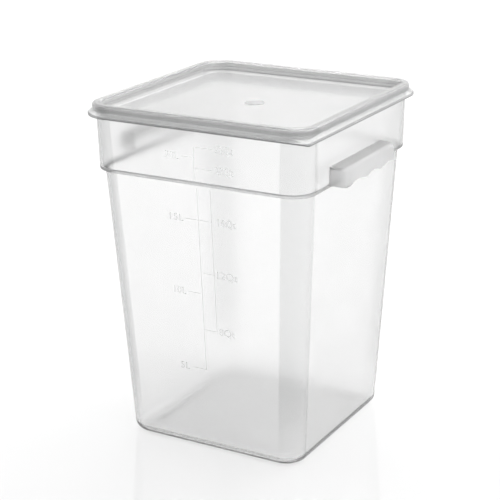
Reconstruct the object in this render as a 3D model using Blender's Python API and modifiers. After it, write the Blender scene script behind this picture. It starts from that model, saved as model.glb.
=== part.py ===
# A tall square food storage container with a press-on lid, both moulded in translucent plastic.
# The container is one moulding with a ledge, a collar, a rim and two pull handles. The lid is the other.
# Metres, +Z up. The origin is the middle of the base, and the face with the scale looks along -Y.

import math
from collections import namedtuple

import bmesh
import bpy
from mathutils import Matrix, Vector

# Container heights. The collar stands on the ledge and ends at the rim.
LEDGE_HEIGHT = 0.3279
COLLAR_HEIGHT = 0.0754
FOOT_RECESS = 0.0015

# Container half widths, from the middle to the outside of a flat wall, and the corner radii there. The collar
# stands out past the body by the ledge's width, and widens by its draft up to the rim.
BASE_HALF = 0.1141
BASE_CORNER = 0.0244
BODY_HALF = 0.1326
BODY_CORNER = 0.0284
LEDGE_WIDTH = 0.0042
COLLAR_DRAFT = 0.0013
COLLAR_CORNER = 0.0270
FOOT_RING_WIDTH = 0.0120

# Container walls and fillets.
WALL = 0.0028
FLOOR = 0.0030
FOOT_FILLET = 0.0110
LEDGE_FILLET = 0.0038
INNER_LEDGE_FILLET = 0.0015

# The thick bead round the rim, which the lid's channel sits over.
BEAD_WIDTH = 0.0014
BEAD_HEIGHT = 0.0050
BEAD_FILLET = 0.0006
RIM_FILLET = 0.0011

# The two pull handles, on the +X and -X walls of the collar. The +X one stands off centre towards -Y, and the
# other is the same handle turned half round. A handle's rise is its height above the ledge, its depth is what it
# stands out from the collar, and its lip leans out from its top to its foot.
HANDLE_RISE = 0.0034
HANDLE_HEIGHT = 0.0212
HANDLE_DEPTH = 0.0232
HANDLE_LEAN = 0.0040
HANDLE_HALF_LENGTH = 0.0650
HANDLE_OFFSET = 0.0150
HANDLE_WALL = 0.0028
HANDLE_CORNER = 0.0090
HANDLE_SHOULDER = 0.0040
HANDLE_EDGE = 0.0007
FINGER_COUNT = 3
FINGER_PITCH = 0.0400
FINGER_DEPTH = 0.0037
LIP_RISE = 0.0010

# The lid. Its heights hang on the rim, and its half widths on the rim's faces.
LID_WALL = 0.0024
SEAT_GAP = 0.0003
RIM_CLEARANCE = 0.0003
RECESS_DEPTH = 0.0142
RECESS_DRAFT = 0.0011
RIDGE_WALL_HEIGHT = 0.0075
FLARE_DROP = 0.0039
FLANGE_REACH = 0.0054
FLANGE_EDGE_HEIGHT = 0.0030
TAB_CORNER = 0.0040
CREST_INNER_FILLET = 0.0020
CREST_OUTER_FILLET = 0.0030
PANEL_FILLET = 0.0025
GROOVE_FILLET = 0.0012
FLANGE_FILLET = 0.0009
CHANNEL_FILLET = 0.0006

# One overrun carries every cut past the face that it cuts.
OVERRUN = 0.0050

# Counts of straight steps along a round stretch, and the profile that makes a bevel round.
CORNER_STEPS = 8
FILLET_STEPS = 4
EDGE_STEPS = 2
FINGER_SIDES = 72
ROUND_PROFILE_SHARE = 0.5

SHARP_ANGLE = math.radians(40)

# What follows from the sizes above: the rim's height, and the half widths of the collar at its foot and its top.
RIM_HEIGHT = LEDGE_HEIGHT + COLLAR_HEIGHT
COLLAR_FOOT_HALF = BODY_HALF + LEDGE_WIDTH
COLLAR_HALF = COLLAR_FOOT_HALF + COLLAR_DRAFT

# A place on the outline that runs up through a wall: half width, corner radius and height of the square ring
# there, the radius of the corner that carries the tab, and the fillet that rounds the outline at this place.
Place = namedtuple("Place", "half corner z tab fillet")


def place(half, corner, z, fillet=0.0, tab=None):
    """Name one place of an outline. The tab's corner is like the other three unless it is given."""
    return Place(half, corner, z, corner if tab is None else tab, fillet)


def between(first, second, share):
    """Return the place a share of the way from one place to another."""
    mixed = [a + (b - a) * share for a, b in zip(first[:4], second[:4])]
    return Place(*mixed, 0.0)


def rounded(before, here, after):
    """Return the places that round the outline at one of its corners, as an arc between two tangent points."""
    to_before = Vector((before.half - here.half, before.z - here.z))
    to_after = Vector((after.half - here.half, after.z - here.z))
    opening = to_before.angle(to_after)
    reach = here.fillet / math.tan(opening / 2)
    start = between(here, before, reach / to_before.length)
    end = between(here, after, reach / to_after.length)
    middle = Vector((here.half, here.z))
    bisector = (to_before.normalized() + to_after.normalized()).normalized()
    centre = middle + bisector * here.fillet / math.sin(opening / 2)
    start_arm = Vector((start.half, start.z)) - centre
    end_arm = Vector((end.half, end.z)) - centre
    sweep = start_arm.angle_signed(end_arm)
    arc = []
    for step in range(FILLET_STEPS + 1):
        share = step / FILLET_STEPS
        arm = start_arm.copy()
        arm.rotate(Matrix.Rotation(-sweep * share, 2))
        flat = between(start, end, share)
        arc.append(flat._replace(half=centre.x + arm.x, z=centre.y + arm.y))
    return arc


def round_outline(outline):
    """Return an outline with each of its filleted corners made an arc."""
    places = [outline[0]]
    for before, here, after in zip(outline, outline[1:], outline[2:]):
        places += rounded(before, here, after) if here.fillet else [here]
    return places + [outline[-1]]


def square_ring(bm, spot):
    """Add the points of one level loop, a square with round corners, and return them in order."""
    points = []
    for turn in range(4):
        radius = spot.tab if turn == 3 else spot.corner
        middle = Vector((spot.half - radius, spot.half - radius, spot.z))
        for step in range(CORNER_STEPS + 1):
            angle = math.radians(90) * step / CORNER_STEPS
            point = middle + radius * Vector((math.cos(angle), math.sin(angle), 0))
            point.rotate(Matrix.Rotation(math.radians(90) * turn, 3, "Z"))
            points.append(bm.verts.new(point))
    return points


def loft(name, outline):
    """Make a closed solid from the square rings of an outline that starts and ends on a flat panel."""
    bm = bmesh.new()
    rings = [square_ring(bm, spot) for spot in round_outline(outline)]
    for lower, upper in zip(rings, rings[1:]):
        turned_lower = lower[1:] + lower[:1]
        turned_upper = upper[1:] + upper[:1]
        for corners in zip(lower, turned_lower, turned_upper, upper):
            bm.faces.new(corners)
    for panel in (rings[0], rings[-1]):
        bm.faces.new(panel)
    bmesh.ops.recalc_face_normals(bm, faces=bm.faces)
    return finish(bm, name)


def finish(bm, name):
    """Turn a mesh in progress into an object, smooth but for its sharp edges."""
    mesh = bpy.data.meshes.new(name)
    bm.to_mesh(mesh)
    bm.free()
    mesh.shade_smooth()
    mesh.set_sharp_from_angle(angle=SHARP_ANGLE)
    return bpy.data.objects.new(name, mesh)


def cap(name, low, high, corner, shoulder):
    """Make a block between two corner points that is a handle's outside, or the space in it.

    Its high X face leans in towards the top, and its upright and top edges are rounded but at the low X end.
    """
    low, high = Vector(low), Vector(high)
    middle = (low + high) / 2
    bm = bmesh.new()
    bmesh.ops.create_cube(bm, size=1.0)
    bmesh.ops.scale(bm, vec=high - low, verts=bm.verts)
    bmesh.ops.translate(bm, vec=middle, verts=bm.verts)
    outer_top = [vert for vert in bm.verts if vert.co.x > middle.x and vert.co.z > middle.z]
    lean = HANDLE_LEAN * (high.z - low.z) / HANDLE_HEIGHT
    bmesh.ops.translate(bm, vec=(-lean, 0, 0), verts=outer_top)
    upright = [
        edge for edge in bm.edges
        if min(vert.co.x for vert in edge.verts) > middle.x and edge.verts[0].co.y == edge.verts[1].co.y
    ]
    bmesh.ops.bevel(bm, geom=upright, offset=corner, segments=FILLET_STEPS, profile=ROUND_PROFILE_SHARE, affect="EDGES")
    top = [
        edge for edge in bm.edges
        if min(vert.co.z for vert in edge.verts) > middle.z and max(vert.co.x for vert in edge.verts) > middle.x
    ]
    bmesh.ops.bevel(bm, geom=top, offset=shoulder, segments=FILLET_STEPS, profile=ROUND_PROFILE_SHARE, affect="EDGES")
    return finish(bm, name)


def cylinder_along_x(name, radius, start, end, y, z):
    """Make a cylinder that runs along X from start to end."""
    bm = bmesh.new()
    bmesh.ops.create_cone(bm, cap_ends=True, segments=FINGER_SIDES, radius1=radius, radius2=radius, depth=end - start)
    bmesh.ops.rotate(bm, matrix=Matrix.Rotation(math.radians(90), 3, "Y"), verts=bm.verts)
    bmesh.ops.translate(bm, vec=((start + end) / 2, y, z), verts=bm.verts)
    return finish(bm, name)


def combine(target, tool, operation):
    """Join or cut one object with another, which is kept as a wire guide."""
    modifier = target.modifiers.new(tool.name, "BOOLEAN")
    modifier.object = tool
    modifier.operation = operation
    modifier.solver = "EXACT"
    tool.hide_render = True
    tool.display_type = "WIRE"


def plastic(name, color, roughness):
    """Make the material of one moulding."""
    material = bpy.data.materials.new(name)
    material.use_nodes = True
    shader = material.node_tree.nodes["Principled BSDF"]
    shader.inputs["Base Color"].default_value = (*color, 1.0)
    shader.inputs["Roughness"].default_value = roughness
    shader.inputs["Metallic"].default_value = 0.0
    shader.inputs["IOR"].default_value = 1.49
    return material


def container_shell():
    """Loft the container's shell: underside, foot, wall, ledge, collar and rim, then down the inside."""
    wall_lean = (BODY_HALF - BASE_HALF) / LEDGE_HEIGHT
    floor_top = FOOT_RECESS + FLOOR
    ring_half = BASE_HALF - FOOT_FILLET - FOOT_RING_WIDTH
    ring_corner = BASE_CORNER * ring_half / BASE_HALF
    inner_foot_half = BASE_HALF - WALL + wall_lean * floor_top
    inner_fillet = FOOT_FILLET - WALL
    collar_lean = COLLAR_DRAFT / COLLAR_HEIGHT
    bead_foot = RIM_HEIGHT - BEAD_HEIGHT
    bead_foot_half = COLLAR_HALF - collar_lean * BEAD_HEIGHT
    inner_ledge = LEDGE_HEIGHT + WALL
    outside = [
        place(ring_half - FOOT_RECESS, ring_corner, FOOT_RECESS),
        place(ring_half, ring_corner, 0.0),
        place(BASE_HALF, BASE_CORNER, 0.0, FOOT_FILLET),
        place(BODY_HALF, BODY_CORNER, LEDGE_HEIGHT),
        place(COLLAR_FOOT_HALF, COLLAR_CORNER, LEDGE_HEIGHT, LEDGE_FILLET),
        place(bead_foot_half, COLLAR_CORNER, bead_foot, BEAD_FILLET),
        place(COLLAR_HALF + BEAD_WIDTH, COLLAR_CORNER + BEAD_WIDTH, bead_foot, BEAD_FILLET),
        place(COLLAR_HALF + BEAD_WIDTH, COLLAR_CORNER + BEAD_WIDTH, RIM_HEIGHT, RIM_FILLET),
    ]
    inside = [
        place(COLLAR_HALF - WALL, COLLAR_CORNER - WALL, RIM_HEIGHT, RIM_FILLET),
        place(COLLAR_FOOT_HALF - WALL, COLLAR_CORNER - WALL, inner_ledge, INNER_LEDGE_FILLET),
        place(BODY_HALF - WALL, BODY_CORNER - WALL, inner_ledge, INNER_LEDGE_FILLET),
        place(inner_foot_half, BASE_CORNER - WALL, floor_top, inner_fillet),
        place(ring_half, ring_corner, floor_top),
    ]
    return loft("container", outside + inside)


def handle(name, turn):
    """Make one handle and its cutters: a block cut hollow from below, with finger scallops along its lip."""
    root = COLLAR_FOOT_HALF - WALL / 2
    reach = COLLAR_FOOT_HALF + HANDLE_DEPTH
    bottom = LEDGE_HEIGHT + HANDLE_RISE
    top = bottom + HANDLE_HEIGHT
    near = -HANDLE_OFFSET - HANDLE_HALF_LENGTH
    far = -HANDLE_OFFSET + HANDLE_HALF_LENGTH
    block = cap(name, (root, near, bottom), (reach, far, top), HANDLE_CORNER, HANDLE_SHOULDER)
    hollow = cap(
        f"{name}_space",
        (root - OVERRUN, near + HANDLE_WALL, bottom - OVERRUN),
        (reach - HANDLE_WALL, far - HANDLE_WALL, top - HANDLE_WALL),
        HANDLE_CORNER - HANDLE_WALL,
        HANDLE_SHOULDER - HANDLE_WALL,
    )
    cutters = [hollow]
    radius = FINGER_PITCH ** 2 / (8 * FINGER_DEPTH) + FINGER_DEPTH / 2
    crest = bottom + LIP_RISE + FINGER_DEPTH
    start = reach - HANDLE_WALL - HANDLE_CORNER
    for finger in range(FINGER_COUNT):
        y = (finger - (FINGER_COUNT - 1) / 2) * FINGER_PITCH - HANDLE_OFFSET
        cutters.append(
            cylinder_along_x(f"{name}_finger_{finger + 1}", radius, start, reach + OVERRUN, y, crest - radius)
        )
    for cutter in cutters:
        combine(block, cutter, "DIFFERENCE")
    soft = block.modifiers.new("soft_edges", "BEVEL")
    soft.width = HANDLE_EDGE
    soft.segments = EDGE_STEPS
    soft.limit_method = "ANGLE"
    for piece in [block] + cutters:
        piece.rotation_euler.z = turn
    return block, cutters


def lid():
    """Loft the lid: sunk panel, ridge, groove, flange with its tab, then back along the underside."""
    crest = RIM_HEIGHT + SEAT_GAP + LID_WALL
    panel = crest - RECESS_DEPTH
    centre = COLLAR_HALF - COLLAR_CORNER
    plug_half = COLLAR_HALF - WALL - RIM_CLEARANCE
    recess_half = plug_half - LID_WALL
    panel_half = recess_half - RECESS_DRAFT
    channel_half = COLLAR_HALF + BEAD_WIDTH + RIM_CLEARANCE
    ridge_half = channel_half + LID_WALL
    flange_half = ridge_half + FLANGE_REACH
    groove = crest - RIDGE_WALL_HEIGHT
    flange_top = groove - FLARE_DROP
    flange_bottom = flange_top - FLANGE_EDGE_HEIGHT
    slope = math.atan2(FLARE_DROP, FLANGE_REACH)
    under_drop = LID_WALL * math.tan((math.pi / 2 - slope) / 2)
    flange_inner = flange_half - LID_WALL
    tab_inner = TAB_CORNER - LID_WALL

    def level(half, z, fillet=0.0, tab=None):
        return place(half, half - centre, z, fillet, tab)

    top = [
        level(panel_half - PANEL_FILLET * 2, panel),
        level(panel_half, panel, PANEL_FILLET),
        level(recess_half, crest, CREST_INNER_FILLET),
        level(ridge_half, crest, CREST_OUTER_FILLET),
        level(ridge_half, groove, GROOVE_FILLET),
        level(flange_half, flange_top, FLANGE_FILLET, TAB_CORNER),
        level(flange_half, flange_bottom, FLANGE_FILLET, TAB_CORNER),
    ]
    underside = [
        level(flange_inner, flange_bottom, 0.0, tab_inner),
        level(flange_inner, flange_top - under_drop, 0.0, tab_inner),
        level(channel_half, groove - under_drop, GROOVE_FILLET),
        level(channel_half, crest - LID_WALL, CHANNEL_FILLET),
        level(plug_half, crest - LID_WALL, CHANNEL_FILLET),
        level(plug_half - RECESS_DRAFT, panel - LID_WALL, PANEL_FILLET),
        level(panel_half - PANEL_FILLET * 2, panel - LID_WALL),
    ]
    return loft("lid", top + underside)


def new_collection(name, objects):
    """Put objects in a collection of their own under the scene."""
    collection = bpy.data.collections.new(name)
    bpy.context.scene.collection.children.link(collection)
    for item in objects:
        collection.objects.link(item)
    return collection


def main():
    """Build the container and its lid."""
    for item in list(bpy.data.objects):
        bpy.data.objects.remove(item)
    shell = container_shell()
    guides = []
    for name, turn in (("handle_right", 0), ("handle_left", math.pi)):
        grip, cutters = handle(name, turn)
        combine(shell, grip, "UNION")
        guides += [grip] + cutters
    cover = lid()
    shell.data.materials.append(plastic("container_plastic", (0.90, 0.92, 0.92), 0.30))
    cover.data.materials.append(plastic("lid_plastic", (0.87, 0.89, 0.90), 0.34))
    new_collection("food_storage_container", [shell, cover])
    new_collection("cutters", guides)


main()
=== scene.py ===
# %% [markdown]
# # A food storage container with a press-on lid
#
# The real thing is two injection mouldings in natural polypropylene: a tall square container with a ledge,
# a collar and two pull handles, and a lid whose sunk panel takes the foot of the next container in a stack.
# Natural polypropylene is neither clear nor white. Light passes through it and is scattered on the way, so
# the far side shows as a soft shade.
#
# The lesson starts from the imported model, whose sizes are fixed, and models both mouldings again with fine
# fillets, so that their edges catch the light as moulded edges do.

import math
from collections import namedtuple

import bmesh
import bpy
from mathutils import Matrix, Vector


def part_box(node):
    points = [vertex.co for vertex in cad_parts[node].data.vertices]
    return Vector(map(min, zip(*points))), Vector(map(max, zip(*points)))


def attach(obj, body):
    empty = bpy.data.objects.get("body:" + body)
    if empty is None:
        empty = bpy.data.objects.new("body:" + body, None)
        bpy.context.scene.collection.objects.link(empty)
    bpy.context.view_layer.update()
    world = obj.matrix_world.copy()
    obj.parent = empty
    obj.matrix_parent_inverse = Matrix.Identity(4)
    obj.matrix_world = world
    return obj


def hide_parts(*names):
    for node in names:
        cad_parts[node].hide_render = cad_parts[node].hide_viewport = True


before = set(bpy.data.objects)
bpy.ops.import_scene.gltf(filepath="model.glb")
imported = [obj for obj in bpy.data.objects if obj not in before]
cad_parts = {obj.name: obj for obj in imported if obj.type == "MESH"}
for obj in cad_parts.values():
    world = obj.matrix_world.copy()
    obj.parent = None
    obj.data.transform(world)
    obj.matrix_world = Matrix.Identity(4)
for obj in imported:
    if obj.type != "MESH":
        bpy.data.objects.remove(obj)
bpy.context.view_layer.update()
packed_rim_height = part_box("container")[1].z
packed_lid_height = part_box("lid")[1].z

# %% [markdown]
# ## The camera
#
# The picture was taken from a little above, about thirty degrees round from the graduated face. The place
# and the three angles were solved from the edges of the object, for a square frame of 500 pixels.

# %% Place the camera
CAMERA_PLACE = Vector((0.8232, -1.4591, 0.7836))
CAMERA_YAW = math.radians(29.67)
CAMERA_PITCH = math.radians(18.82)
CAMERA_ROLL = math.radians(-0.65)
CAMERA_LENS = 106.9
CAMERA_SENSOR = 36.0

bpy.ops.object.camera_add()
camera = bpy.context.object
camera.name = "photo_camera"
camera.data.sensor_width = CAMERA_SENSOR
camera.data.lens = CAMERA_LENS
camera.matrix_world = (
    Matrix.Translation(CAMERA_PLACE)
    @ Matrix.Rotation(CAMERA_YAW, 4, "Z")
    @ Matrix.Rotation(math.pi / 2 - CAMERA_PITCH, 4, "X")
    @ Matrix.Rotation(CAMERA_ROLL, 4, "Z")
)
bpy.context.scene.camera = camera
print("camera stands", round(CAMERA_PLACE.length, 3), "m from the middle of the base")

# %% [markdown]
# ## Selecting in code
#
# By hand, each step of modelling starts with a click on what it should act on. In a script the click
# becomes a test: everything is deselected, and the points, edges or faces that pass the test are selected.

# %% A helper that selects what passes a test
def pick(kind, test):
    """Select, in edit mode, only the points, edges or faces that pass a test."""
    bpy.ops.mesh.select_mode(type=kind)
    bpy.ops.mesh.select_all(action="DESELECT")
    data = bpy.context.object.data
    mesh = bmesh.from_edit_mesh(data)
    items = {"VERT": mesh.verts, "EDGE": mesh.edges, "FACE": mesh.faces}[kind]
    for item in items:
        if test(item):
            item.select_set(True)
    mesh.select_flush_mode()
    bmesh.update_edit_mesh(data)


def settle(piece):
    """Leave edit mode, and put the piece's place, turn and scale into its mesh."""
    if bpy.context.mode != "OBJECT":
        bpy.ops.object.mode_set(mode="OBJECT")
    bpy.ops.object.select_all(action="DESELECT")
    piece.select_set(True)
    bpy.context.view_layer.objects.active = piece
    bpy.ops.object.transform_apply(location=True, rotation=True, scale=True)


def apply_modifiers(piece):
    """Apply every modifier of a piece, from the first to the last."""
    settle(piece)
    for modifier in list(piece.modifiers):
        bpy.ops.object.modifier_apply(modifier=modifier.name)


# %% [markdown]
# ## Both mouldings are square rings, one above another
#
# Every level section of the container and of the lid is a square with round corners. So each moulding
# starts as a plane with its corners bevelled round, and grows by extruding that face from ring to ring: up
# the outside, over the rim and down the inside. After each extrusion the four corners are scaled and moved
# by themselves, so that a ring's width and its corner radius are set apart. The same way makes the lid's
# pull tab, which is only a corner with a small radius.

# %% Helpers that grow a moulding from ring to ring
CORNER_STEPS = 16
FILLET_STEPS = 6
ROUND_PROFILE_SHARE = 0.5
TOUCH = 1e-5
QUADRANTS = ((1, 1), (-1, 1), (-1, -1), (1, -1))
TAB_QUADRANT = (1, -1)

Ring = namedtuple("Ring", "half corner z fillet tab")


def ring(half, corner, z, fillet=0.0, tab=None):
    """Name one ring: half its width, its corner radius, height and fillet, and the radius at the tab."""
    return Ring(half, corner, z, fillet, corner if tab is None else tab)


def radius_at(here, quadrant):
    """Return a ring's corner radius in one quadrant."""
    return here.tab if quadrant == TAB_QUADRANT else here.corner


def start_ring(name, first):
    """Add a plane the size of the first ring and bevel its corners round. Edit mode stays on."""
    bpy.ops.object.select_all(action="DESELECT")
    bpy.ops.mesh.primitive_plane_add(size=2 * first.half, location=(0, 0, first.z))
    piece = bpy.context.object
    piece.name = name
    settle(piece)
    bpy.ops.object.mode_set(mode="EDIT")
    pick("VERT", lambda vert: True)
    bpy.ops.mesh.bevel(
        offset=first.corner, segments=CORNER_STEPS, profile=ROUND_PROFILE_SHARE, affect="VERTICES"
    )
    pick("FACE", lambda face: True)
    return piece


def grow(here, after):
    """Extrude the selected face to the next ring, then set each corner's radius and place."""
    bpy.ops.mesh.extrude_region_move(TRANSFORM_OT_translate={"value": (0, 0, after.z - here.z)})
    mesh = bmesh.from_edit_mesh(bpy.context.object.data)
    mesh.verts.index_update()
    leading = {vert.index for vert in mesh.verts if vert.select}
    for quadrant in QUADRANTS:
        side_x, side_y = quadrant
        old_radius, new_radius = radius_at(here, quadrant), radius_at(after, quadrant)
        old_arm, new_arm = here.half - old_radius, after.half - new_radius
        centre = Vector((side_x * old_arm, side_y * old_arm, after.z))
        pick("VERT", lambda vert: (
            vert.index in leading and vert.co.x * side_x > 0 and vert.co.y * side_y > 0
        ))
        scale = new_radius / old_radius
        bpy.ops.transform.resize(value=(scale, scale, 1), center_override=centre)
        shift = Vector((side_x, side_y, 0)) * (new_arm - old_arm)
        bpy.ops.transform.translate(value=shift)
    pick("VERT", lambda vert: vert.index in leading)


def on_ring(place, here):
    """Say whether a point lies on a ring."""
    if abs(place.z - here.z) > TOUCH:
        return False
    quadrant = (1 if place.x > 0 else -1, 1 if place.y > 0 else -1)
    radius = radius_at(here, quadrant)
    past_x = max(abs(place.x) - here.half + radius, 0)
    past_y = max(abs(place.y) - here.half + radius, 0)
    return abs(math.hypot(past_x, past_y) - radius) < TOUCH


def soften(before, here, after):
    """Bevel a ring's edges into a fillet of its radius, which touches the walls on both sides."""
    down = Vector((before.half - here.half, before.z - here.z))
    up = Vector((after.half - here.half, after.z - here.z))
    reach = here.fillet / math.tan(down.angle(up) / 2)
    pick("EDGE", lambda edge: all(on_ring(vert.co, here) for vert in edge.verts))
    bpy.ops.mesh.bevel(
        offset=reach, segments=FILLET_STEPS, profile=ROUND_PROFILE_SHARE, affect="EDGES", clamp_overlap=False
    )


def mould(name, rings):
    """Grow a moulding through its rings, round those with a fillet, and turn its faces outward."""
    piece = start_ring(name, rings[0])
    for here, after in zip(rings, rings[1:]):
        grow(here, after)
    for before, here, after in zip(rings, rings[1:], rings[2:]):
        if here.fillet:
            soften(before, here, after)
    pick("FACE", lambda face: True)
    bpy.ops.mesh.normals_make_consistent(inside=False)
    settle(piece)
    size = tuple(round(length, 4) for length in piece.dimensions)
    print(name, "has", len(piece.data.polygons), "faces and measures", size, "m")
    return piece


# %% [markdown]
# ## The container's shell
#
# The walls lean out from the foot, so that the moulding leaves its tool and empty containers nest. Four
# fifths of the way up they step out in a ledge, and the collar above it is a little wider and almost
# upright. A thick bead round the rim gives the lid something to press over.

# %% Grow the container's shell
LEDGE_HEIGHT = 0.3279
COLLAR_HEIGHT = 0.0754
RIM_HEIGHT = LEDGE_HEIGHT + COLLAR_HEIGHT
FOOT_RECESS = 0.0015
BASE_HALF = 0.1141
BASE_CORNER = 0.0244
BODY_HALF = 0.1326
BODY_CORNER = 0.0284
COLLAR_FOOT_HALF = 0.1368
COLLAR_HALF = 0.1381
COLLAR_CORNER = 0.0270
FOOT_RING_WIDTH = 0.0120
WALL = 0.0028
FLOOR = 0.0030
FOOT_FILLET = 0.0110
LEDGE_FILLET = 0.0038
ARRIS = 0.0008
INNER_LEDGE_FILLET = 0.0015
BEAD_WIDTH = 0.0014
BEAD_HEIGHT = 0.0050
BEAD_FILLET = 0.0006
RIM_FILLET = 0.0011

body_lean = (BODY_HALF - BASE_HALF) / LEDGE_HEIGHT
collar_lean = (COLLAR_HALF - COLLAR_FOOT_HALF) / COLLAR_HEIGHT
floor_top = FOOT_RECESS + FLOOR
foot_half = BASE_HALF - FOOT_FILLET - FOOT_RING_WIDTH
foot_corner = BASE_CORNER * foot_half / BASE_HALF
bead_foot = RIM_HEIGHT - BEAD_HEIGHT
bead_half = COLLAR_HALF + BEAD_WIDTH
bead_corner = COLLAR_CORNER + BEAD_WIDTH
inner_ledge = LEDGE_HEIGHT + WALL

shell = mould("container_moulding", [
    ring(foot_half - FOOT_RECESS, foot_corner, FOOT_RECESS),
    ring(foot_half, foot_corner, 0.0),
    ring(BASE_HALF, BASE_CORNER, 0.0, FOOT_FILLET),
    ring(BODY_HALF, BODY_CORNER, LEDGE_HEIGHT, ARRIS),
    ring(COLLAR_FOOT_HALF, COLLAR_CORNER, LEDGE_HEIGHT, LEDGE_FILLET - ARRIS),
    ring(COLLAR_HALF - collar_lean * BEAD_HEIGHT, COLLAR_CORNER, bead_foot, BEAD_FILLET),
    ring(bead_half, bead_corner, bead_foot, BEAD_FILLET),
    ring(bead_half, bead_corner, RIM_HEIGHT, RIM_FILLET),
    ring(COLLAR_HALF - WALL, COLLAR_CORNER - WALL, RIM_HEIGHT, RIM_FILLET),
    ring(COLLAR_FOOT_HALF - WALL, COLLAR_CORNER - WALL, inner_ledge, INNER_LEDGE_FILLET),
    ring(BODY_HALF - WALL, BODY_CORNER - WALL, inner_ledge, INNER_LEDGE_FILLET),
    ring(BASE_HALF - WALL + body_lean * floor_top, BASE_CORNER - WALL, floor_top, FOOT_FILLET - WALL),
    ring(foot_half, foot_corner, floor_top),
])
print("rim height differs from the packed model by", round(packed_rim_height - RIM_HEIGHT, 6), "m")

# %% [markdown]
# ## A pull handle
#
# Each handle is a hood on the collar: a level web, a cheek at each end and a lip that hangs down in front,
# open from below. Three shallow scallops along the lip's lower edge take the fingers. The handle starts as
# a block and is hollowed with a smaller block, the way the tool's core forms it, and the scallops are cut
# by cylinders, whose radius follows from a scallop's width and depth.

# %% Blocks and scallops for a handle
HANDLE_RISE = 0.0034
HANDLE_HEIGHT = 0.0212
HANDLE_DEPTH = 0.0232
HANDLE_LEAN = 0.0040
HANDLE_HALF_LENGTH = 0.0650
HANDLE_OFFSET = 0.0150
HANDLE_WALL = 0.0028
HANDLE_CORNER = 0.0090
HANDLE_SHOULDER = 0.0040
HANDLE_EDGE = 0.0007
HANDLE_CORNER_STEPS = 12
HANDLE_EDGE_STEPS = 3
FINGER_COUNT = 3
FINGER_PITCH = 0.0400
FINGER_DEPTH = 0.0037
FINGER_SIDES = 256
LIP_RISE = 0.0010
OVERRUN = 0.0050


def hood(name, low, high, corner, shoulder):
    """Make a block whose outer face leans in towards its top, rounded at its outer and top edges."""
    low, high = Vector(low), Vector(high)
    middle = (low + high) / 2
    bpy.ops.object.select_all(action="DESELECT")
    bpy.ops.mesh.primitive_cube_add(size=1, location=middle, scale=high - low)
    piece = bpy.context.object
    piece.name = name
    settle(piece)
    bpy.ops.object.mode_set(mode="EDIT")
    pick("VERT", lambda vert: vert.co.x > middle.x and vert.co.z > middle.z)
    bpy.ops.transform.translate(value=(-HANDLE_LEAN * (high.z - low.z) / HANDLE_HEIGHT, 0, 0))
    pick("EDGE", lambda edge: (
        all(vert.co.x > middle.x for vert in edge.verts)
        and abs(edge.verts[0].co.y - edge.verts[1].co.y) < TOUCH
    ))
    bpy.ops.mesh.bevel(
        offset=corner, segments=HANDLE_CORNER_STEPS, profile=ROUND_PROFILE_SHARE, affect="EDGES"
    )
    pick("EDGE", lambda edge: (
        all(vert.co.z > middle.z for vert in edge.verts)
        and any(vert.co.x > middle.x for vert in edge.verts)
    ))
    bpy.ops.mesh.bevel(offset=shoulder, segments=FILLET_STEPS, profile=ROUND_PROFILE_SHARE, affect="EDGES")
    settle(piece)
    return piece


def cut(piece, tool):
    """Cut a piece with a tool that is then thrown away."""
    modifier = piece.modifiers.new("cut", "BOOLEAN")
    modifier.object = tool
    modifier.operation = "DIFFERENCE"
    apply_modifiers(piece)
    bpy.data.objects.remove(tool)


handle_root = COLLAR_FOOT_HALF - WALL / 2
handle_reach = COLLAR_FOOT_HALF + HANDLE_DEPTH
handle_bottom = LEDGE_HEIGHT + HANDLE_RISE
handle_top = handle_bottom + HANDLE_HEIGHT
handle_near = -HANDLE_OFFSET - HANDLE_HALF_LENGTH
handle_far = -HANDLE_OFFSET + HANDLE_HALF_LENGTH
handle = hood(
    "handle",
    (handle_root, handle_near, handle_bottom),
    (handle_reach, handle_far, handle_top),
    HANDLE_CORNER,
    HANDLE_SHOULDER,
)
core = hood(
    "core",
    (handle_root - OVERRUN, handle_near + HANDLE_WALL, handle_bottom - OVERRUN),
    (handle_reach - HANDLE_WALL, handle_far - HANDLE_WALL, handle_top - HANDLE_WALL),
    HANDLE_CORNER - HANDLE_WALL,
    HANDLE_SHOULDER - HANDLE_WALL,
)
cut(handle, core)

finger_radius = FINGER_PITCH ** 2 / (8 * FINGER_DEPTH) + FINGER_DEPTH / 2
finger_crest = handle_bottom + LIP_RISE + FINGER_DEPTH
finger_start = handle_reach - HANDLE_WALL - HANDLE_CORNER
finger_end = handle_reach + OVERRUN
for finger in range(FINGER_COUNT):
    finger_y = (finger - (FINGER_COUNT - 1) / 2) * FINGER_PITCH - HANDLE_OFFSET
    bpy.ops.object.select_all(action="DESELECT")
    bpy.ops.mesh.primitive_cylinder_add(
        vertices=FINGER_SIDES,
        radius=finger_radius,
        depth=finger_end - finger_start,
        location=((finger_start + finger_end) / 2, finger_y, finger_crest - finger_radius),
        rotation=(0, math.pi / 2, 0),
    )
    scallop = bpy.context.object
    settle(scallop)
    cut(handle, scallop)
print("handle spans", round(handle_near, 4), "to", round(handle_far, 4), "m along Y")
print("handle reaches", round(handle_reach, 4), "m out")

# %% [markdown]
# The handle's edges are rounded, and then it is copied. The copy is turned half round the middle of the
# container, because the two handles are staggered, each a little nearer the corner on its left. A Boolean
# union makes them one body with the shell, as one shot of plastic does.

# %% Round the handle, copy it and join both to the shell
soft_edges = handle.modifiers.new("soft_edges", "BEVEL")
soft_edges.width = HANDLE_EDGE
soft_edges.segments = HANDLE_EDGE_STEPS
soft_edges.limit_method = "ANGLE"
apply_modifiers(handle)
bpy.ops.object.duplicate()
other_handle = bpy.context.object
bpy.ops.transform.rotate(value=math.pi, orient_axis="Z", center_override=(0, 0, 0))
settle(other_handle)
for grip in (handle, other_handle):
    union = shell.modifiers.new("union", "BOOLEAN")
    union.object = grip
    union.operation = "UNION"
    apply_modifiers(shell)
    bpy.data.objects.remove(grip)
print("container with handles:", len(shell.data.polygons), "faces")

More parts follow.
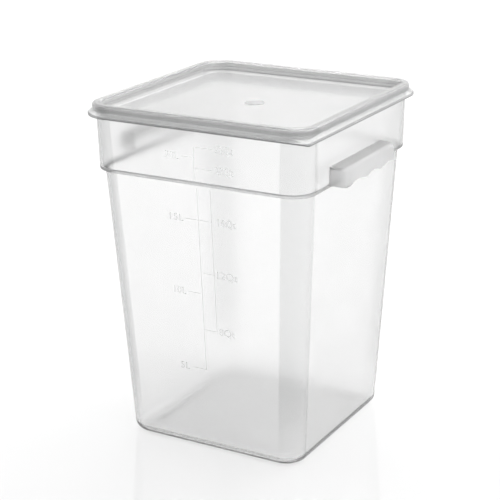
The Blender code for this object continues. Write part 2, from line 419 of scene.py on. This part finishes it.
# %% [markdown]
# ## The lid
#
# The lid is grown the same way, from the middle of its panel outward: up the side of the recess, over the
# ridge, down to the groove, out along the flare to the flange, and back along the underside. The ridge is a
# channel from below, and sits over the container's rim. All its corners turn about the same four centres,
# so each ring's radius follows from its width. Only the flange's ring at the pull tab has a small radius of
# its own.

# %% Grow the lid
LID_WALL = 0.0024
SEAT_GAP = 0.0003
RIM_CLEARANCE = 0.0003
RECESS_DEPTH = 0.0142
RECESS_DRAFT = 0.0011
RIDGE_WALL_HEIGHT = 0.0075
FLARE_DROP = 0.0039
FLANGE_REACH = 0.0054
FLANGE_EDGE_HEIGHT = 0.0030
TAB_CORNER = 0.0040
CREST_INNER_FILLET = 0.0020
CREST_OUTER_FILLET = 0.0030
PANEL_FILLET = 0.0025
GROOVE_FILLET = 0.0012
FLANGE_FILLET = 0.0009
CHANNEL_FILLET = 0.0006

crest = RIM_HEIGHT + SEAT_GAP + LID_WALL
panel = crest - RECESS_DEPTH
corner_centre = COLLAR_HALF - COLLAR_CORNER
plug_half = COLLAR_HALF - WALL - RIM_CLEARANCE
recess_half = plug_half - LID_WALL
panel_half = recess_half - RECESS_DRAFT
channel_half = bead_half + RIM_CLEARANCE
ridge_half = channel_half + LID_WALL
flange_half = ridge_half + FLANGE_REACH
groove = crest - RIDGE_WALL_HEIGHT
flange_top = groove - FLARE_DROP
flange_bottom = flange_top - FLANGE_EDGE_HEIGHT
flare_slope = math.atan2(FLARE_DROP, FLANGE_REACH)
under_drop = LID_WALL * math.tan((math.pi / 2 - flare_slope) / 2)
flange_inner = flange_half - LID_WALL
tab_inner = TAB_CORNER - LID_WALL
middle_half = panel_half - 2 * PANEL_FILLET


def level(half, z, fillet=0.0, tab=None):
    """Name one ring of the lid, whose corners turn about the lid's four centres."""
    return ring(half, half - corner_centre, z, fillet, tab)


cover = mould("lid_moulding", [
    level(middle_half, panel),
    level(panel_half, panel, PANEL_FILLET),
    level(recess_half, crest, CREST_INNER_FILLET),
    level(ridge_half, crest, CREST_OUTER_FILLET),
    level(ridge_half, groove, GROOVE_FILLET),
    level(flange_half, flange_top, FLANGE_FILLET, TAB_CORNER),
    level(flange_half, flange_bottom, FLANGE_FILLET, TAB_CORNER),
    level(flange_inner, flange_bottom, 0.0, tab_inner),
    level(flange_inner, flange_top - under_drop, 0.0, tab_inner),
    level(channel_half, groove - under_drop, GROOVE_FILLET),
    level(channel_half, crest - LID_WALL, CHANNEL_FILLET),
    level(plug_half, crest - LID_WALL, CHANNEL_FILLET),
    level(plug_half - RECESS_DRAFT, panel - LID_WALL, PANEL_FILLET),
    level(middle_half, panel - LID_WALL),
])
print("lid height differs from the packed model by", round(packed_lid_height - crest, 6), "m")

# %% [markdown]
# The plastic enters the tool at the middle of the panel. Lids of this kind have a low round land there,
# with a dished top, so that the trimmed stub doesn't stand above it.

# %% The gate land in the middle of the panel
GATE_RADIUS = 0.0110
GATE_RISE = 0.0004
GATE_SINK = 0.0001
GATE_LIP = 0.0012
GATE_DISH = 0.0002
GATE_SIDES = 96
GATE_EDGE_STEPS = 3
FACING_UP = 0.5

bpy.ops.object.select_all(action="DESELECT")
bpy.ops.mesh.primitive_cylinder_add(
    vertices=GATE_SIDES,
    radius=GATE_RADIUS,
    depth=GATE_RISE + GATE_SINK,
    location=(0, 0, panel + (GATE_RISE - GATE_SINK) / 2),
)
gate = bpy.context.object
gate.name = "lid_gate_land"
settle(gate)
bpy.ops.object.mode_set(mode="EDIT")
pick("FACE", lambda face: face.normal.z > FACING_UP)
bpy.ops.mesh.inset(thickness=GATE_LIP, depth=-GATE_DISH)
pick("EDGE", lambda edge: all(vert.co.z > panel + GATE_RISE - TOUCH for vert in edge.verts))
bpy.ops.mesh.bevel(
    offset=GATE_DISH / 2, segments=GATE_EDGE_STEPS, profile=ROUND_PROFILE_SHARE, affect="EDGES"
)
settle(gate)
print("gate land is", round(gate.dimensions.x, 4), "m across and has", len(gate.data.polygons), "faces")

# %% [markdown]
# ## The graduation
#
# The marks are cut into the tool, so on the container they stand a fraction of a millimetre proud: an
# upright line for litres, one for quarts, a tick and a plain number at each volume. They are modelled flat,
# as if the wall were upright, and then tilted onto the leaning wall. Heights are those at which the
# container holds the volume that the number gives.

# %% Measures of the graduation
BODY_RELIEF = 0.0004
COLLAR_RELIEF = 0.0002
RELIEF_SINK = 0.0001
RELIEF_EDGE_STEPS = 2
LINE_WIDTH = 0.0007
NUMBER_HEIGHT = 0.0084
TAILED_NUMBER_HEIGHT = 0.0104
TEXT_DEPTH = 0.1
TEXT_STEPS = 4
LITRE_LINE_X = 0.0010
QUART_LINE_X = 0.0180

Mark = namedtuple("Mark", "words start end z low high")

body_marks = [
    Mark("15L", -0.0170, LITRE_LINE_X, 0.2870, -0.0360, -0.0180),
    Mark("16Qt", LITRE_LINE_X, 0.0190, 0.2870, 0.0260, 0.0490),
    Mark("12Qt", 0.0040, 0.0190, 0.2240, 0.0220, 0.0480),
    Mark("10L", -0.0175, -0.0015, 0.1985, -0.0360, -0.0200),
    Mark("8Qt", LITRE_LINE_X, 0.0170, 0.1545, 0.0210, 0.0410),
    Mark("5L", -0.0150, LITRE_LINE_X, 0.1040, -0.0330, -0.0210),
]
collar_marks = [
    Mark("20Qt", 0.0030, 0.0246, 0.3480, 0.0280, 0.0510),
    Mark("20L", -0.0150, 0.0017, 0.3600, -0.0360, -0.0180),
    Mark("22Qt", 0.0030, 0.0246, 0.3720, 0.0280, 0.0510),
]

# %% Raised strips and numbers, modelled on an upright wall at y 0
def strip(left, right, low, high, relief):
    """Add one raised strip with softened front edges, and return it."""
    bpy.ops.object.select_all(action="DESELECT")
    bpy.ops.mesh.primitive_cube_add(
        size=1,
        location=((left + right) / 2, (RELIEF_SINK - relief) / 2, (low + high) / 2),
        scale=(right - left, relief + RELIEF_SINK, high - low),
    )
    piece = bpy.context.object
    settle(piece)
    bpy.ops.object.mode_set(mode="EDIT")
    pick("EDGE", lambda edge: all(vert.co.y < 0 for vert in edge.verts))
    bpy.ops.mesh.bevel(
        offset=relief / 2, segments=RELIEF_EDGE_STEPS, profile=ROUND_PROFILE_SHARE, affect="EDGES"
    )
    settle(piece)
    return piece


def number(words, left, right, middle_z, relief):
    """Add plain raised characters that fill a width, and return them. The tail of a Q needs more height."""
    height = TAILED_NUMBER_HEIGHT if "Q" in words else NUMBER_HEIGHT
    bpy.ops.object.select_all(action="DESELECT")
    bpy.ops.object.text_add(rotation=(math.pi / 2, 0, 0))
    text = bpy.context.object.data
    text.body = words
    text.extrude = TEXT_DEPTH
    text.resolution_u = TEXT_STEPS
    bpy.ops.object.convert(target="MESH")
    piece = bpy.context.object
    settle(piece)
    bpy.ops.object.mode_set(mode="EDIT")
    pick("VERT", lambda vert: True)
    bpy.ops.mesh.remove_doubles(threshold=TOUCH)
    bpy.ops.mesh.normals_make_consistent(inside=False)
    settle(piece)
    piece.scale = (
        (right - left) / piece.dimensions.x,
        (relief + RELIEF_SINK) / piece.dimensions.y,
        height / piece.dimensions.z,
    )
    settle(piece)
    corners = [Vector(corner) for corner in piece.bound_box]
    middle = sum(corners, Vector()) / len(corners)
    wanted = Vector(((left + right) / 2, (RELIEF_SINK - relief) / 2, middle_z))
    piece.location = wanted - middle
    settle(piece)
    return piece


def join(pieces, name):
    """Join pieces into one mesh."""
    bpy.ops.object.select_all(action="DESELECT")
    for piece in pieces:
        piece.select_set(True)
    bpy.context.view_layer.objects.active = pieces[0]
    bpy.ops.object.join()
    bpy.context.object.name = name
    return bpy.context.object


def scale_on_wall(name, marks, lines, foot, lean, relief):
    """Make the marks and lines of one wall, and tilt them onto it. The foot is the wall's lowest place."""
    tilt = math.atan(lean)
    slant = 1 / math.cos(tilt)
    pieces = []
    for x, low, high in lines:
        line_low = (low - foot.z) * slant
        line_high = (high - foot.z) * slant
        pieces.append(strip(x - LINE_WIDTH / 2, x + LINE_WIDTH / 2, line_low, line_high, relief))
    for mark in marks:
        height = (mark.z - foot.z) * slant
        tick_low = height - LINE_WIDTH / 2
        pieces.append(strip(mark.start, mark.end, tick_low, tick_low + LINE_WIDTH, relief))
        pieces.append(number(mark.words, mark.low, mark.high, height, relief))
    piece = join(pieces, name)
    piece.rotation_euler.x = tilt
    piece.location = foot
    settle(piece)
    return piece


# %% Make the graduation on the body and on the collar
line_top = LEDGE_HEIGHT - LEDGE_FILLET
lowest_quarts, lowest_litres = body_marks[-2:]
body_scale = scale_on_wall(
    "body_scale",
    body_marks,
    [(LITRE_LINE_X, lowest_litres.z, line_top), (QUART_LINE_X, lowest_quarts.z, line_top)],
    Vector((0, -BASE_HALF, 0)),
    body_lean,
    BODY_RELIEF,
)
collar_scale = scale_on_wall(
    "collar_scale",
    collar_marks,
    [(LITRE_LINE_X, LEDGE_HEIGHT + LEDGE_FILLET, collar_marks[-1].z)],
    Vector((0, -COLLAR_FOOT_HALF, LEDGE_HEIGHT)),
    collar_lean,
    COLLAR_RELIEF,
)
graduation = join([body_scale, collar_scale], "graduation")
print("graduation has", len(graduation.data.polygons), "faces")

# %% [markdown]
# ## Smooth shading
#
# A fillet next to a wide flat wall shades well only if the wall keeps its own direction. So each piece is
# shaded smooth by angle, and a Weighted Normal modifier lets the largest face at each point decide.

# %% Shade the pieces
SMOOTH_ANGLE = math.radians(50)

for piece in (shell, cover, gate, graduation):
    settle(piece)
    bpy.ops.object.shade_smooth_by_angle(angle=SMOOTH_ANGLE)
    weighted = piece.modifiers.new("weighted_normals", "WEIGHTED_NORMAL")
    weighted.keep_sharp = True
    apply_modifiers(piece)
print("edges flatter than", round(math.degrees(SMOOTH_ANGLE)), "degrees are shaded smooth")

# %% [markdown]
# ## Shader maths as Python expressions
#
# A material is a graph of nodes. To keep it readable, one small class wraps a socket, so that an expression
# such as `1 - mask * 0.2` adds the Math nodes by itself. Any other node comes from one method.

# %% A graph of nodes that reads like Python
COLOUR_A = 6
COLOUR_B = 7
COLOUR_RESULT = 2


class Value:
    """An output socket that Python's operators work on."""

    def __init__(self, graph, socket):
        self.graph = graph
        self.socket = socket

    def math(self, operation, first, second):
        return self.graph.add("ShaderNodeMath", {"operation": operation}, {0: first, 1: second})

    def __add__(self, other):
        return self.math("ADD", self, other)

    def __abs__(self):
        return self.math("ABSOLUTE", self, 0.0)

    def __sub__(self, other):
        return self.math("SUBTRACT", self, other)

    def __rsub__(self, other):
        return self.math("SUBTRACT", other, self)

    def __mul__(self, other):
        return self.math("MULTIPLY", self, other)

    __radd__ = __add__
    __rmul__ = __mul__

    def least(self, other):
        """Return the smaller of two values."""
        return self.math("MINIMUM", self, other)

    def most(self, other):
        """Return the larger of two values."""
        return self.math("MAXIMUM", self, other)

    def rise(self, low, high):
        """Return a soft step, from 0 at the low value to 1 at the high value."""
        return self.graph.add(
            "ShaderNodeMapRange",
            {"interpolation_type": "SMOOTHSTEP"},
            {"Value": self, "From Min": low, "From Max": high},
        )


class Graph:
    """The nodes of a material or of the world."""

    def __init__(self, tree):
        self.tree = tree
        tree.nodes.clear()

    def add(self, kind, settings=None, inputs=None, output=0):
        """Add a node with its settings, fill its sockets with numbers or links, and return one output."""
        node = self.tree.nodes.new(kind)
        for name, value in (settings or {}).items():
            setattr(node, name, value)
        for key, value in (inputs or {}).items():
            if isinstance(value, Value):
                self.tree.links.new(value.socket, node.inputs[key])
            else:
                node.inputs[key].default_value = value
        return Value(self, node.outputs[output]) if node.outputs else node

    def blend(self, share, first, second):
        """Mix two colours, by a share of the second. The node's colour sockets come after its others."""
        inputs = {"Factor": share, COLOUR_A: first, COLOUR_B: second}
        return self.add("ShaderNodeMix", {"data_type": "RGBA"}, inputs, COLOUR_RESULT)


# %% [markdown]
# ## Natural polypropylene
#
# Seen up close the plastic is satin outside, with the fine grain of the spark-eroded tool and long soft
# waves where it shrank. Light that goes through comes out blurred. So the Principled shader passes most of
# its light, with some roughness, and the little that it keeps is a milky white.
#
# Some places are painted darker, as painted shade: the corners, the collar, the ledge and the foot. A mask
# from Object coordinates says how dark each place is painted, and mixes the clear colour with the darker
# one.
# The corners' painted shade fades towards the foot.

# %% Say where the container's plastic is painted darker, as painted shade
# Shares of painted shade at the corners, the collar, the ledge and the foot.
CORNER_PAINTED_SHADE = 0.55
COLLAR_PAINTED_SHADE = 0.16
LEDGE_PAINTED_SHADE = 0.70
FOOT_PAINTED_SHADE = 0.12
FOOT_FADE = 0.04
CORNER_FADE = 0.10
MASK_EDGE = 0.0015

base_arm = BASE_HALF - BASE_CORNER
body_arm = BODY_HALF - BODY_CORNER
ledge_half = LEDGE_FILLET / 2


def container_painted_shade(graph, place):
    """Return how much painted shade darkens each place of the container, and where it is rougher: in the
    ledge.
    """
    x, y, z = (graph.add("ShaderNodeSeparateXYZ", None, {"Vector": place}, axis) for axis in "XYZ")
    arm = z * ((body_arm - base_arm) / LEDGE_HEIGHT) + base_arm
    corner = (abs(x).least(abs(y)) - arm).rise(0.0, MASK_EDGE) * z.rise(0.0, CORNER_FADE)
    foot = 1 - z.rise(0.0, FOOT_FADE)
    collar = z.rise(LEDGE_HEIGHT, LEDGE_HEIGHT + MASK_EDGE)
    ledge = 1 - abs(z - (LEDGE_HEIGHT + ledge_half)).rise(ledge_half, ledge_half + MASK_EDGE)
    # Painted shade: the corners, collar, ledge and foot are mixed towards the darker colour.
    painted_shade = (corner * CORNER_PAINTED_SHADE).most(collar * COLLAR_PAINTED_SHADE).most(ledge * LEDGE_PAINTED_SHADE) + foot * FOOT_PAINTED_SHADE
    return painted_shade, ledge


# %% [markdown]
# The outside of the lid's rim has a darker band where its wall meets the groove, and a dark line along the
# flange's lower edge, both painted shade. The marks on the body, where they stand prouder than on the
# collar, are painted darker as painted shade. The handles and the rest of the lid are even.

# %% The same for the lid's rim, the marks and the even parts
# The share of painted shade in the band at the groove.
GROOVE_PAINTED_SHADE = 0.50
GROOVE_BAND = 0.0018
EDGE_BAND = 0.0010
# The share of painted shade on the marks of the body.
BODY_MARK_PAINTED_SHADE = 0.40


def rim_painted_shade(graph, place):
    """Return the rim's painted shade: some in the band at the groove, most along the flange's lower edge."""
    z = graph.add("ShaderNodeSeparateXYZ", None, {"Vector": place}, "Z")
    # Painted shade: a dark line along the flange's lower edge and a darker band at the groove.
    edge = 1 - z.rise(flange_bottom + EDGE_BAND, flange_bottom + 2 * EDGE_BAND)
    band = 1 - abs(z - (groove + GROOVE_BAND)).rise(GROOVE_BAND / 2, 2 * GROOVE_BAND)
    return edge.most(band * GROOVE_PAINTED_SHADE), 0.0


def mark_painted_shade(graph, place):
    """Return the marks' painted shade: some on the body, none on the collar."""
    z = graph.add("ShaderNodeSeparateXYZ", None, {"Vector": place}, "Z")
    # Painted shade on the body's marks only.
    return (1 - z.rise(LEDGE_HEIGHT, LEDGE_HEIGHT + MASK_EDGE)) * BODY_MARK_PAINTED_SHADE, 0.0


def no_painted_shade(graph, place):
    """Return the same plastic everywhere, apart from its soft clouds."""
    return 0.0, 0.0


# %% [markdown]
# One recipe makes every plastic. Three noises, all on Object coordinates, give the grain, the waves and a
# faint cloudiness. The grain and the waves only tilt the surface's normal, which costs no geometry.

# %% A recipe for translucent plastic
GRAIN_SCALE = 1500.0
GRAIN_DEPTH = 0.00001
GRAIN_STRENGTH = 0.08
WAVE_SCALE = 14.0
WAVE_DEPTH = 0.0004
WAVE_STRENGTH = 0.2
PLAIN_DETAIL = 1.0
CLOUD_SCALE = 30.0
CLOUD_DETAIL = 3.0
CLOUD_SHARE = 0.05
LEDGE_ROUGHNESS = 0.18


def noise(graph, place, scale, detail):
    """Add a Noise texture and return its value."""
    return graph.add("ShaderNodeTexNoise", None, {"Vector": place, "Scale": scale, "Detail": detail})


def bump(graph, height, strength, distance, below=None):
    """Tilt the normal by a height, on top of another bump if there is one."""
    inputs = {"Strength": strength, "Distance": distance, "Height": height}
    if below:
        inputs["Normal"] = below
    return graph.add("ShaderNodeBump", None, inputs)


def polypropylene(name, clear, cloud_and_shade_colour, transmission, roughness, ior, painted_shade_mask):
    """Make one plastic. A function says how far painted shade darkens each place, and how rough each place
    is.
    """
    material = bpy.data.materials.new(name)
    material.use_nodes = True
    graph = Graph(material.node_tree)
    place = graph.add("ShaderNodeTexCoord", output="Object")
    cloudy = noise(graph, place, CLOUD_SCALE, CLOUD_DETAIL) * CLOUD_SHARE
    waves = bump(graph, noise(graph, place, WAVE_SCALE, PLAIN_DETAIL), WAVE_STRENGTH, WAVE_DEPTH)
    grain = bump(graph, noise(graph, place, GRAIN_SCALE, PLAIN_DETAIL), GRAIN_STRENGTH, GRAIN_DEPTH, waves)
    painted_shade, haze = painted_shade_mask(graph, place)
    shader = graph.add("ShaderNodeBsdfPrincipled", None, {
        # The colour mixes towards the darker one for the soft clouds and for painted shade.
        "Base Color": graph.blend(cloudy + painted_shade, clear, cloud_and_shade_colour),
        "Roughness": cloudy + haze * LEDGE_ROUGHNESS + roughness,
        "IOR": ior,
        "Transmission Weight": transmission,
        "Normal": grain,
    })
    graph.add("ShaderNodeOutputMaterial", None, {"Surface": shader})
    return material


# %% [markdown]
# The same resin looks different in each part, so the recipe is used five times. The container's walls and
# the raised marks pass the most light. The handles pass the least and blur it most, which makes them look
# solid, and the lid is between the two. Its rim is a plastic of its own for the painted shade of its band
# and line. The marks overlap the wall, so light meets two more surfaces in them, and a lower index of
# refraction keeps them faint. The gate land has the marks' plastic for the same reason.

# %% Make the five plastics
PLASTIC_IOR = 1.49
MARK_IOR = 1.15

container_plastic = polypropylene(
    "container_plastic",
    clear=(0.995, 0.995, 0.995, 1),
    cloud_and_shade_colour=(0.70, 0.705, 0.705, 1),
    transmission=0.98,
    roughness=0.165,
    ior=PLASTIC_IOR,
    painted_shade_mask=container_painted_shade,
)
mark_plastic = polypropylene(
    "raised_mark_plastic",
    clear=(1.0, 1.0, 1.0, 1),
    cloud_and_shade_colour=(0.70, 0.70, 0.70, 1),
    transmission=0.99,
    roughness=0.28,
    ior=MARK_IOR,
    painted_shade_mask=mark_painted_shade,
)
handle_plastic = polypropylene(
    "handle_plastic",
    clear=(0.99, 0.99, 0.99, 1),
    cloud_and_shade_colour=(0.90, 0.905, 0.905, 1),
    transmission=0.72,
    roughness=0.30,
    ior=PLASTIC_IOR,
    painted_shade_mask=no_painted_shade,
)
lid_plastic = polypropylene(
    "lid_plastic",
    clear=(0.985, 0.985, 0.985, 1),
    cloud_and_shade_colour=(0.90, 0.905, 0.905, 1),
    transmission=0.82,
    roughness=0.14,
    ior=PLASTIC_IOR,
    painted_shade_mask=no_painted_shade,
)
# The rim's plastic is painted darker, as painted shade, in its band and along its lower edge.
rim_painted_shade_plastic = polypropylene(
    "lid_rim_painted_shade_plastic",
    clear=(0.97, 0.975, 0.975, 1),
    cloud_and_shade_colour=(0.30, 0.305, 0.305, 1),
    transmission=0.84,
    roughness=0.17,
    ior=PLASTIC_IOR,
    painted_shade_mask=rim_painted_shade,
)
print("plastics:", [material.name for material in bpy.data.materials if material.name.endswith("plastic")])

# %% [markdown]
# Each moulding is one mesh, so its faces choose between two plastics by their place: the handles on the
# container, and the outside of the rim, below the crest, on the lid.

# %% Give the pieces their plastics
def finish_faces(piece, material, test):
    """Give a second plastic to the faces whose middles pass a test, and return how many did."""
    piece.data.materials.append(material)
    chosen = [face for face in piece.data.polygons if test(face.center)]
    for face in chosen:
        face.material_index = 1
    return len(chosen)


def in_rim(place):
    """Say whether a place on the lid is outside of the channel and below the crest."""
    past_x = max(abs(place.x) - corner_centre, 0)
    past_y = max(abs(place.y) - corner_centre, 0)
    outside = corner_centre + math.hypot(past_x, past_y) > channel_half + LID_WALL / 2
    return outside and place.z < crest - CREST_OUTER_FILLET / 2


def in_handle(place):
    """Say whether a place on the container is on a handle."""
    return abs(place.x) > COLLAR_HALF + MASK_EDGE and handle_bottom - TOUCH < place.z < handle_top + TOUCH


finishes = (
    (shell, container_plastic),
    (graduation, mark_plastic),
    (cover, lid_plastic),
    (gate, mark_plastic),
)
for piece, material in finishes:
    piece.data.materials.clear()
    piece.data.materials.append(material)
print("lid faces in the rim:", finish_faces(cover, rim_painted_shade_plastic, in_rim))
print("container faces in the handles:", finish_faces(shell, handle_plastic, in_handle))

# %% [markdown]
# ## The studio
#
# The photograph has a white, faintly glossy floor that runs into a white background. The light comes from
# behind, above and the right, and the side that the graduated face looks at is dimmer, which draws the
# ledge and the lid's front edge in grey. So the world is a white room whose brightness falls towards that
# side. A ray that comes straight from the camera sees it white, and one that has gone through plastic
# almost so. That white is a colour of strength 1, and no extra lamp.

# %% The world
# The ledge and the lid's front edge are grey from this dim side and also from painted shade in their
# plastics.
ROOM_WHITE = (1.0, 1.0, 1.0, 1)
ROOM_DIM = (0.18, 0.18, 0.18, 1)
DIM_TOWARD = (0.0, -1.0, 0.0)
DIM_START = 0.0
DIM_END = 0.95
THROUGH_SHARE = 0.9


def seen_rays(graph, *names):
    """Return 1 for a ray of one of the named kinds, and 0 for any other."""
    mask = graph.add("ShaderNodeLightPath", output=names[0])
    for name in names[1:]:
        mask = mask.most(graph.add("ShaderNodeLightPath", output=name))
    return mask


world = bpy.data.worlds.new("studio")
bpy.context.scene.world = world
world.use_nodes = True
graph = Graph(world.node_tree)
direction = graph.add("ShaderNodeTexCoord", output="Generated")
facing = graph.add(
    "ShaderNodeVectorMath", {"operation": "DOT_PRODUCT"}, {0: direction, 1: DIM_TOWARD}, "Value"
)
room = graph.blend(facing.rise(DIM_START, DIM_END), ROOM_WHITE, ROOM_DIM)
seen = seen_rays(graph, "Is Camera Ray") + seen_rays(graph, "Is Transmission Ray") * THROUGH_SHARE
light = graph.blend(seen, room, ROOM_WHITE)
background = graph.add("ShaderNodeBackground", None, {"Color": light})
graph.add("ShaderNodeOutputWorld", None, {"Surface": background})
print("the room's brightness falls from", ROOM_WHITE[0], "to", ROOM_DIM[0])

# %% [markdown]
# The floor is a pale sheet with a smooth face, so the container stands on a faint mirror image of itself.
# It lies a hair below the foot, so that the two never share a plane. It is white far away and a little
# darker in front, partly from the lamp behind and partly from painted shade in its glow. Its own colour
# gives part of that brightness, with the container's shadow in it. A glow gives the rest. Only rays that
# come straight from the camera, off a mirror or through plastic see the glow, so it lights hardly anything.

# %% The floor
FLOOR_SIZE = 12.0
FLOOR_DROP = 0.0002
FLOOR_COLOUR = (0.32, 0.32, 0.32, 1)
FLOOR_ROUGHNESS = 0.06
FLOOR_IOR = 2.0
GLOW_FAR = (0.61, 0.61, 0.61, 1)
GLOW_NEAR = (0.55, 0.55, 0.55, 1)
GLOW_FALL_START = -0.20
GLOW_FALL_END = 0.25
BLACK = (0.0, 0.0, 0.0, 1)

bpy.ops.object.select_all(action="DESELECT")
bpy.ops.mesh.primitive_plane_add(size=FLOOR_SIZE, location=(0, 0, -FLOOR_DROP))
floor = bpy.context.object
floor.name = "studio_floor"
settle(floor)
floor_material = bpy.data.materials.new("studio_floor")
floor_material.use_nodes = True
graph = Graph(floor_material.node_tree)
place = graph.add("ShaderNodeTexCoord", output="Object")
to_front = Vector((CAMERA_PLACE.x, CAMERA_PLACE.y, 0)).normalized()
nearness = graph.add(
    "ShaderNodeVectorMath", {"operation": "DOT_PRODUCT"}, {0: place, 1: to_front}, "Value"
)
# Painted shade: the glow is a little darker towards the front.
glow = graph.blend(nearness.rise(GLOW_FALL_START, GLOW_FALL_END), GLOW_FAR, GLOW_NEAR)
seen = seen_rays(graph, "Is Camera Ray", "Is Glossy Ray", "Is Transmission Ray")
ground = graph.add("ShaderNodeBsdfPrincipled", None, {
    "Base Color": FLOOR_COLOUR,
    "Roughness": FLOOR_ROUGHNESS,
    "IOR": FLOOR_IOR,
    "Emission Color": graph.blend(seen, BLACK, glow),
    "Emission Strength": 1.0,
})
graph.add("ShaderNodeOutputMaterial", None, {"Surface": ground})
floor.data.materials.append(floor_material)
print("floor is", FLOOR_SIZE, "m wide and", FLOOR_DROP, "m below the container")

# %% [markdown]
# Two large soft lamps, one above and one to the right, give the lid, the handles and the right side their
# light.

# %% The lamps
LAMP_AIM = Vector((0, 0, 0.2))


def soft_light(name, place, width, power):
    """Add a square area light that faces the container."""
    bpy.ops.object.light_add(type="AREA", location=place)
    lamp = bpy.context.object
    lamp.name = name
    lamp.data.shape = "SQUARE"
    lamp.data.size = width
    lamp.data.energy = power
    lamp.rotation_euler = (LAMP_AIM - Vector(place)).to_track_quat("-Z", "Y").to_euler()
    print(name, "is", width, "m wide and gives", power, "W")


soft_light("top_light", place=(0.0, 1.0, 1.9), width=2.0, power=18.0)
soft_light("right_light", place=(2.2, 0.0, 1.2), width=1.6, power=16.0)

bpy.context.scene.view_settings.view_transform = "Standard"

# %% [markdown]
# The container and its graduation stay where they are. The lid and its gate land ride on the lid's body, so
# they lift together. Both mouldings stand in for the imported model's solids, which are hidden and stay for
# collision.

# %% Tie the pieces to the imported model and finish
for piece in (shell, graduation):
    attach(piece, "container")
for piece in (cover, gate):
    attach(piece, "lid")
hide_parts("container")
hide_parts("lid")
